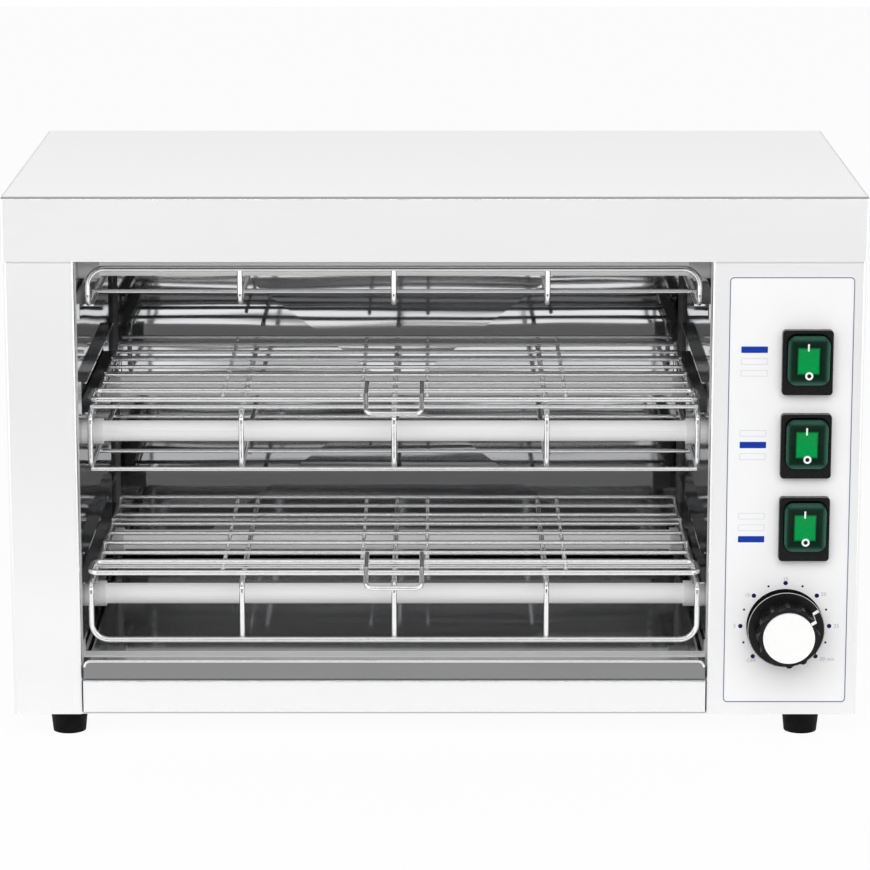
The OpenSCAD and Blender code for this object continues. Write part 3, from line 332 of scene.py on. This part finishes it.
def lit_rocker(name):
    """Clear dark-green cap over a lamp: a bright oblong where the lamp shines through, painted shade darkest round
    it, and a painted highlight paler at the rim.

    Places are shares of the cap's box.
    """
    window_mid_x = 0.49
    window_mid_z = 0.5
    window_half_w = 0.245
    window_half_h = 0.259
    rim_scale = 2.05
    rim_share = 0.5
    glow = 0.1
    m = Mat(name, CAP_GREEN, rough=0.28, Specular_IOR_Level=0.12)
    x, _, z = m.axes(m.node("ShaderNodeTexCoord").outputs["Generated"])
    dx = m.math("ABSOLUTE", m.math("SUBTRACT", x, window_mid_x))
    dz = m.math("ABSOLUTE", m.math("SUBTRACT", z, window_mid_z))
    far = m.math("MAXIMUM", m.math("DIVIDE", dx, window_half_w), m.math("DIVIDE", dz, window_half_h))
    window = m.span(far, 1.0, 0.0, start=0.93, end=1.12)
    shade = m.span(far, 1.0, 0.0, start=1.0, end=2.0)
    rim = m.span(m.math("MULTIPLY", m.math("MAXIMUM", dx, dz), rim_scale), 0.0, 1.0, start=0.82, end=1.0)
    # Painted shade: darkest just round the lit oblong.
    outer = m.mix_color(shade, CAP_SHADE, CAP_DEEP_SHADE)
    # Painted highlight: paler towards the cap's rim.
    outer = m.mix_color(m.math("MULTIPLY", rim, rim_share), outer, CAP_RIM_HIGHLIGHT)
    core = m.mix_color(m.noise(500.0), LAMP_GREEN, LAMP_LIGHT_GREEN)
    color = m.mix_color(window, outer, core)
    m.put("Base Color", color)
    m.put("Emission Color", color)
    m.put("Emission Strength", m.math("MULTIPLY", window, glow))
    m.vary_rough(m.noise(80.0, detail=2.0), 0.2, 0.34)
    m.bump(m.noise(120.0, detail=2.0), distance=0.00006, strength=0.3)
    return m


FINISHES = {
    "satin_steel": satin_steel("satin_steel"),
    "mirror_steel": mirror_steel("mirror_steel", WALL_STEEL, rough=0.045, wave=0.0007),
    "chrome_wire": chrome_wire("chrome_wire"),
    "opal_quartz": opal_quartz("opal_quartz"),
    "ceramic": fired_ceramic("ceramic"),
    "heater_metal": plated("heater_metal", BRASS, rough=0.3),
    "black_plastic": moulded("black_plastic", PLASTIC_BLACK, rough=0.26, Specular_IOR_Level=0.16),
    "green_plastic": lit_rocker("green_plastic"),
    "white_plastic": moulded("white_plastic", PLASTIC_WHITE, rough=0.35, cloud=0.02),
    "overlay_film": moulded("overlay_film", SHEET_WHITE, rough=0.45,
                            grain=3500.0, depth=0.00001, cloud=0.015),
    "black_rubber": moulded("black_rubber", RUBBER_BLACK, rough=0.62,
                            grain=1500.0, depth=0.00008, Specular_IOR_Level=0.1),
    "zinc_steel": plated("zinc_steel", ZINC, rough=0.28),
}
INK_BLUE = printed("ink_blue", srgb(22, 58, 166))
INK_NAVY = printed("ink_navy", srgb(18, 26, 74))
INK_LINE = printed("ink_line", srgb(112, 124, 146))
INK_FAINT = printed("ink_faint", srgb(214, 217, 222))
INK_GREY = printed("ink_grey", srgb(184, 186, 192))
INK_WHITE = printed("ink_white", srgb(246, 248, 247))
# Light grey printed as a painted highlight on the knob's bevel.
KNOB_RIM_HIGHLIGHT = printed("painted_rim_highlight", srgb(205, 205, 207))
TRAY_STEEL = tray_steel("tray_steel")
# Painted shade: a darker black without sheen for the side of the knob's skirt.
SKIRT_SHADE_BLACK = moulded("skirt_shade_black", SHADE_BLACK, rough=0.5, Specular_IOR_Level=0.0)


# CAD nodes: finishes and soft shading of round faces

SHARP_ANGLE = math.radians(32)
slot_of = {s["node"]: s["material_slot"] for s in record["subparts"]}
for name, obj in nodes.items():
    finish = TRAY_STEEL if name == "crumb_tray" else FINISHES[slot_of[name]]
    obj.data.shade_smooth()
    obj.data.set_sharp_from_angle(angle=SHARP_ANGLE)
    obj.data.materials.clear()
    obj.data.materials.append(finish.material)


# Thin pieces: outlines and places are in millimetres

def add_piece(name, mesh, mat, body):
    obj = bpy.data.objects.new(name, mesh)
    scene.collection.objects.link(obj)
    mesh.materials.append(mat.material)
    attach(obj, body)


def add_solid(name, bm, mat, body):
    bmesh.ops.recalc_face_normals(bm, faces=bm.faces)
    mesh = bpy.data.meshes.new(name)
    bm.to_mesh(mesh)
    bm.free()
    add_piece(name, mesh, mat, body)


def meshed(curve, place):
    """Mesh of a curve or text that is set at that place."""
    obj = bpy.data.objects.new(curve.name, curve)
    scene.collection.objects.link(obj)
    bpy.context.view_layer.update()
    mesh = bpy.data.meshes.new_from_object(obj.evaluated_get(bpy.context.evaluated_depsgraph_get()))
    bpy.data.objects.remove(obj)
    mesh.transform(place)
    mesh.materials.clear()
    return mesh


def rounded(x0, z0, x1, z1, r, steps=6):
    """Outline of a rounded rectangle in the XZ plane."""
    points = []
    corners = ((x1 - r, z0 + r), (x1 - r, z1 - r), (x0 + r, z1 - r), (x0 + r, z0 + r))
    for quarter, (cx, cz) in enumerate(corners):
        for step in range(steps + 1):
            a = math.radians(90 * (quarter - 1) + 90 * step / steps)
            points.append((cx + r * math.cos(a), cz + r * math.sin(a)))
    return points


def disc(cx, cz, r, steps=28):
    """Outline of a circle in the XZ plane."""
    angles = [2 * math.pi * step / steps for step in range(steps)]
    return [(cx + r * math.cos(a), cz + r * math.sin(a)) for a in angles]


def add_loop(bm, outline, depth):
    """Vertices along an outline, at a depth or at a depth that is a function of x and z."""
    loop = []
    for x, z in outline:
        y = depth(x, z) if callable(depth) else depth
        loop.append(bm.verts.new((x * MM, y * MM, z * MM)))
    return loop


def add_wall(bm, a, b):
    """Faces between two loops with the same number of vertices."""
    for i in range(len(a)):
        bm.faces.new((a[i - 1], a[i], b[i], b[i - 1]))


def add_plate(bm, outline, back, front):
    """Thin plate with that outline between two depths."""
    rear = add_loop(bm, outline, back)
    face = add_loop(bm, outline, front)
    bm.faces.new(rear)
    bm.faces.new(face[::-1])
    add_wall(bm, rear, face)


def add_ring(bm, outer, inner, back, front):
    """Thin flat ring between two outlines with the same number of points."""
    outer_back = add_loop(bm, outer, back)
    inner_back = add_loop(bm, inner, back)
    outer_front = add_loop(bm, outer, front)
    inner_front = add_loop(bm, inner, front)
    add_wall(bm, outer_back, inner_back)
    add_wall(bm, inner_back, inner_front)
    add_wall(bm, inner_front, outer_front)
    add_wall(bm, outer_front, outer_back)


# Prints on the control panel's overlay

INK_T = 0.06
ov_lo, ov_hi = (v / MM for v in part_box("control_overlay"))
PRINT_BACK = ov_lo.y
PRINT_FRONT = ov_lo.y - INK_T


def print_frame(bm, x0, z0, x1, z1, width, outer_r, inner_r, steps=6):
    """Printed line of that width round a rounded rectangle."""
    inner = (x0 + width, z0 + width, x1 - width, z1 - width)
    add_ring(bm, rounded(x0, z0, x1, z1, outer_r, steps), rounded(*inner, inner_r, steps),
             PRINT_BACK, PRINT_FRONT)


def overlay_line():
    """Line round the overlay, close to its edge."""
    edge = 0.35
    width = 0.6
    outer_r = 2.4
    bm = bmesh.new()
    print_frame(bm, ov_lo.x + edge, ov_lo.z + edge, ov_hi.x - edge, ov_hi.z - edge,
                width, outer_r, outer_r - width)
    add_solid("overlay_line", bm, INK_LINE, "cabinet")


def level_marks():
    """Three bars beside each switch, filled for the heaters that it turns on."""
    margin = 7.4
    bar_w = 15.1
    bar_h = 3.7
    pitch = 6.8
    bar_r = 0.3
    line_w = 0.28
    line_outer_r = 0.45
    line_inner_r = 0.2
    corner_steps = 3
    left = ov_lo.x + margin
    filled = bmesh.new()
    outlined = bmesh.new()
    for row, switch in enumerate(("bottom", "middle", "top")):
        lo, hi = (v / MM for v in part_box(switch + "_switch_body"))
        for bar in range(3):
            z = (lo.z + hi.z) / 2 + (bar - 1) * pitch
            box = (left, z - bar_h / 2, left + bar_w, z + bar_h / 2)
            if bar == row:
                add_plate(filled, rounded(*box, bar_r, corner_steps), PRINT_BACK, PRINT_FRONT)
            else:
                print_frame(outlined, *box, line_w, line_outer_r, line_inner_r, corner_steps)
    add_solid("level_marks", filled, INK_BLUE, "cabinet")
    add_solid("level_outlines", outlined, INK_FAINT, "cabinet")


cap_lo, cap_hi = (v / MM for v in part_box("knob_cap"))
DIAL = ((cap_lo.x + cap_hi.x) / 2, (cap_lo.z + cap_hi.z) / 2)


def dial_dots():
    """Dots round the dial, every second one small."""
    ring_r = 25.6
    count = 13
    start_deg = 225
    step_deg = 22.5
    big_r = 1.3
    small_r = 0.65
    big = bmesh.new()
    small = bmesh.new()
    for i in range(count):
        a = math.radians(start_deg - step_deg * i)
        at = (DIAL[0] + ring_r * math.cos(a), DIAL[1] + ring_r * math.sin(a))
        if i % 2:
            add_plate(small, disc(*at, small_r), PRINT_BACK, PRINT_FRONT)
        else:
            add_plate(big, disc(*at, big_r), PRINT_BACK, PRINT_FRONT)
    add_solid("dial_dots", big, INK_NAVY, "cabinet")
    add_solid("dial_small_dots", small, INK_NAVY, "cabinet")


def dial_number(text, dx, dz):
    """One of the dial's numbers, at that place from the dial's middle."""
    text_h = 3.1
    half_t = 0.03
    curve = bpy.data.curves.new("dial_text", "FONT")
    curve.body = text
    curve.size = text_h * MM
    curve.extrude = half_t * MM
    curve.align_x = "CENTER"
    curve.align_y = "CENTER"
    at = Vector((DIAL[0] + dx, PRINT_BACK - half_t, DIAL[1] + dz)) * MM
    mesh = meshed(curve, Matrix.Translation(at) @ Matrix.Rotation(math.pi / 2, 4, "X"))
    add_piece("dial_number_" + text.replace(" ", "_"), mesh, INK_GREY, "cabinet")


overlay_line()
level_marks()
dial_dots()
dial_number("OFF", -18.9, -20.7)
dial_number("5", -28.9, 0)
dial_number("10", -21.9, 18.4)
dial_number("15", 0, 27.9)
dial_number("20", 22.0, 18.9)
dial_number("25", 29.8, 0)
dial_number("30 min", 24.8, -19.9)


# Rolled edge along the top of the crumb tray's front, round its upper corners

def tray_edge():
    edge_r = 0.8
    inset = 0.6
    corner_r = 4.0
    front_slack = 0.1
    tray = nodes["crumb_tray"]
    points = [tray.matrix_world @ v.co / MM for v in tray.data.vertices]
    front_y = min(p.y for p in points)
    lip = [p for p in points if p.y < front_y + front_slack]
    left = min(p.x for p in lip) + inset
    right = max(p.x for p in lip) - inset
    bottom = min(p.z for p in lip) + inset
    top = max(p.z for p in lip) - inset
    outline = rounded(left, bottom - 2 * corner_r, right, top, corner_r - inset)
    route = [(x, front_y + inset / 2, z) for x, z in outline if z > bottom]
    curve = bpy.data.curves.new("tray_edge", "CURVE")
    curve.dimensions = "3D"
    curve.bevel_depth = edge_r * MM
    curve.bevel_resolution = 3
    curve.use_fill_caps = True
    spline = curve.splines.new("POLY")
    spline.points.add(len(route) - 1)
    for point, place in zip(spline.points, route):
        point.co = (*(c * MM for c in place), 1)
    mesh = meshed(curve, Matrix())
    mesh.shade_smooth()
    add_piece("tray_edge", mesh, FINISHES["chrome_wire"], "crumb_tray")


tray_edge()


# Timer knob: pointer, painted highlight as a fine light line round the skirt, painted shade on the side of the
# skirt

GRIP_H = 17.0
BEVEL = 0.5
knob_lo, knob_hi = (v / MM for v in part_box("timer_knob"))
GRIP_FRONT = knob_lo.y
SKIRT_FRONT = GRIP_FRONT + GRIP_H
SKIRT_R = (knob_hi.x - knob_lo.x) / 2


def radial(r0, r1, width):
    """Oblong along the pointer's direction, between two radii."""
    pointer = math.radians(32)
    along = Vector((math.cos(pointer), math.sin(pointer)))
    across = Vector((-along.y, along.x)) * width / 2
    middle = Vector(DIAL)
    inner = middle + along * r0
    outer = middle + along * r1
    return [tuple(p) for p in (inner - across, outer - across, outer + across, inner + across)]


def knob_pointer():
    """White line on the skirt, up the grip's side and on the grip's front."""
    skirt_radii = (18.0, 21.6)
    grip_radii = (14.9, 17.9)
    side_radii = (17.6, 18.12)
    width = 1.7
    side_w = 1.5
    paint_t = 0.12
    side_back = 0.05
    side_front = 0.1
    bm = bmesh.new()
    add_plate(bm, radial(*skirt_radii, width), SKIRT_FRONT, SKIRT_FRONT - paint_t)
    add_plate(bm, radial(*grip_radii, width), GRIP_FRONT, GRIP_FRONT - paint_t)
    add_plate(bm, radial(*side_radii, side_w), SKIRT_FRONT - side_back, GRIP_FRONT - side_front)
    add_solid("knob_pointer", bm, INK_WHITE, "timer_knob")


def on_bevel(proud):
    """Depth just in front of the bevel round the skirt."""
    def depth(x, z):
        return SKIRT_FRONT + BEVEL - SKIRT_R + math.hypot(x - DIAL[0], z - DIAL[1]) - proud
    return depth


def knob_rim_highlight():
    """Painted highlight: a fine light line on the bevel."""
    line_w = 0.26
    steps = 96
    sunk = 0.02
    proud = 0.05
    bm = bmesh.new()
    outer = disc(*DIAL, SKIRT_R - (BEVEL - line_w) / 2, steps)
    inner = disc(*DIAL, SKIRT_R - (BEVEL + line_w) / 2, steps)
    add_ring(bm, outer, inner, on_bevel(-sunk), on_bevel(proud))
    add_solid("knob_rim_highlight", bm, KNOB_RIM_HIGHLIGHT, "timer_knob")


def shaded_skirt():
    """Second finish on the faces round the skirt's side: painted shade, a darker black without sheen."""
    side_limit = 0.3
    knob = nodes["timer_knob"]
    knob.data.materials.append(SKIRT_SHADE_BLACK.material)
    for face in knob.data.polygons:
        x, _, z = (knob.matrix_world @ face.center) / MM
        far_out = math.hypot(x - DIAL[0], z - DIAL[1]) > SKIRT_R - BEVEL
        if far_out and abs(face.normal.y) < side_limit:
            face.material_index = 1


knob_pointer()
knob_rim_highlight()
shaded_skirt()


# Signs on the rockers, laid on their two sloping faces; the rocker's sizes are those of the CAD

ROCKER_H = 27.8
ROCKER_T = 4.6
ROCKER_LIFT = 4.6
ROCKER_TILT = math.radians(6)
ROCKER_CROWN = ROCKER_H / 2 * math.tan(ROCKER_TILT)


def on_rocker(proud):
    """Depth just in front of the rocker's sloping faces, from its pivot."""
    def depth(x, z):
        hollow = ROCKER_CROWN * (1 - abs(z) / (ROCKER_H / 2))
        return -ROCKER_LIFT - ROCKER_T + hollow - proud
    return depth


def rocker_signs(level):
    """Upright bar above and ring below, from the rocker's pivot."""
    sunk = 0.02
    proud = 0.06
    bar_box = (-1.0, 5.9, 0.0, 10.5)
    bar_r = 0.4
    bar_steps = 4
    ring_at = (0.25, -8.6)
    ring_r = 2.3
    ring_inner_r = 1.2
    ring_steps = 36
    joint = next(j for j in frame["joints"] if j["child"] == level + "_rocker")
    bm = bmesh.new()
    add_plate(bm, rounded(*bar_box, bar_r, bar_steps), on_rocker(-sunk), on_rocker(proud))
    add_ring(bm, disc(*ring_at, ring_r, ring_steps), disc(*ring_at, ring_inner_r, ring_steps),
             on_rocker(-sunk), on_rocker(proud))
    bm.transform(Matrix.Translation(joint["pos_m"]) @ Matrix.Rotation(ROCKER_TILT, 4, "X"))
    add_solid(level + "_rocker_signs", bm, INK_WHITE, level + "_rocker")


for level in ("bottom", "middle", "top"):
    rocker_signs(level)


# Floor, light and camera

def floor():
    """Pale floor that shows and mirrors nearly white."""
    half_size = (3, 2.2, 1)
    place = (0, 1.75, 0)
    paint = (0.9, 0.9, 0.9, 1)
    white_share = 0.94
    bm = bmesh.new()
    bmesh.ops.create_grid(bm, x_segments=8, y_segments=8, size=1.0)
    mesh = bpy.data.meshes.new("floor")
    bm.to_mesh(mesh)
    bm.free()
    obj = bpy.data.objects.new("floor", mesh)
    obj.scale = half_size
    obj.location = place
    scene.collection.objects.link(obj)
    material = bpy.data.materials.new("floor")
    material.use_nodes = True
    material.node_tree.nodes.clear()
    t = Tree(material.node_tree)
    diffuse = t.node("ShaderNodeBsdfDiffuse")
    t.feed(diffuse.inputs["Color"], paint)
    white = t.node("ShaderNodeEmission")
    ray = t.node("ShaderNodeLightPath").outputs
    seen = t.math("MAXIMUM", ray["Is Camera Ray"], ray["Is Glossy Ray"])
    mix = t.node("ShaderNodeMixShader")
    t.feed(mix.inputs[0], t.math("MULTIPLY", seen, white_share))
    t.feed(mix.inputs[1], diffuse.outputs[0])
    t.feed(mix.inputs[2], white.outputs[0])
    t.feed(t.node("ShaderNodeOutputMaterial").inputs[0], mix.outputs[0])
    mesh.materials.append(material)


def studio():
    """White all round, with a dark room on the camera's side.

    Mirrors see a low bright band and a strip light in that room. Limits are parts of a unit direction.
    """
    room_light = 0.12
    mirrored_room_light = 0.04
    band_light = 1.9
    strip_light = 3.0
    world = bpy.data.worlds.new("studio")
    scene.world = world
    world.use_nodes = True
    world.node_tree.nodes.clear()
    t = Tree(world.node_tree)
    x, y, z = t.axes(t.node("ShaderNodeTexCoord").outputs["Generated"])

    def rise(value, start, end, low=0.0, high=1.0):
        return t.span(value, low, high, start, end, "SMOOTHSTEP")

    def fall(value, start, end):
        return rise(value, start, end, 1.0, 0.0)

    sides = rise(t.math("ABSOLUTE", x), 0.34, 0.6)
    below = fall(z, -0.62, -0.46)
    above = rise(z, 0.66, 0.85)
    rear = rise(y, -0.4, -0.2)
    white = t.math("MAXIMUM", t.math("MAXIMUM", sides, below), t.math("MAXIMUM", above, rear))
    lighting_share = rise(z, 0.3, 0.8, 0.74, 0.36)
    lighting = t.math("ADD", t.math("MULTIPLY", white, lighting_share), room_light)
    band = t.math("MULTIPLY", rise(z, -0.218, -0.192, 0.0, band_light), fall(z, -0.14, -0.1))
    strip = t.math("MULTIPLY", rise(z, 0.40, 0.44, 0.0, strip_light), fall(z, 0.54, 0.58))
    strip = t.math("MULTIPLY", strip, fall(y, -0.5, -0.3))
    room = t.math("ADD", t.math("MULTIPLY", white, 1 - mirrored_room_light), mirrored_room_light)
    mirrored = t.math("MAXIMUM", room, t.math("MAXIMUM", band, strip))
    ray = t.node("ShaderNodeLightPath").outputs
    mirror_ray = t.math("MAXIMUM", ray["Is Glossy Ray"], ray["Is Transmission Ray"])
    unseen = t.mix_value(mirror_ray, lighting, mirrored)
    background = t.node("ShaderNodeBackground")
    t.feed(background.inputs["Color"], GLOW_WHITE)
    t.feed(background.inputs["Strength"], t.mix_value(ray["Is Camera Ray"], unseen, 1.0))
    t.feed(t.node("ShaderNodeOutputWorld").inputs[0], background.outputs[0])


def front_light():
    """Large soft light above the camera, which mirrors don't show."""
    place = Vector((-0.1, -2.2, 1.8))
    aim = Vector((0, 0, 0.15))
    light = bpy.data.lights.new("key_front", "AREA")
    light.shape = "RECTANGLE"
    light.size = 3.2
    light.size_y = 1.9
    light.energy = 57
    obj = bpy.data.objects.new("key_front", light)
    scene.collection.objects.link(obj)
    obj.location = place
    obj.rotation_euler = (aim - place).to_track_quat("-Z", "Y").to_euler()
    obj.visible_glossy = False


def camera():
    """The camera that was fitted to the photograph."""
    pitch_down_deg = 12.454
    lens = bpy.data.cameras.new("camera")
    lens.sensor_width = 36
    lens.lens = 155.0
    obj = bpy.data.objects.new("camera", lens)
    scene.collection.objects.link(obj)
    obj.location = (0.0001, -2.2147, 0.6405)
    obj.rotation_euler = (math.radians(90 - pitch_down_deg), 0, 0)
    scene.camera = obj


floor()
studio()
front_light()
camera()
scene.view_settings.view_transform = "Standard"
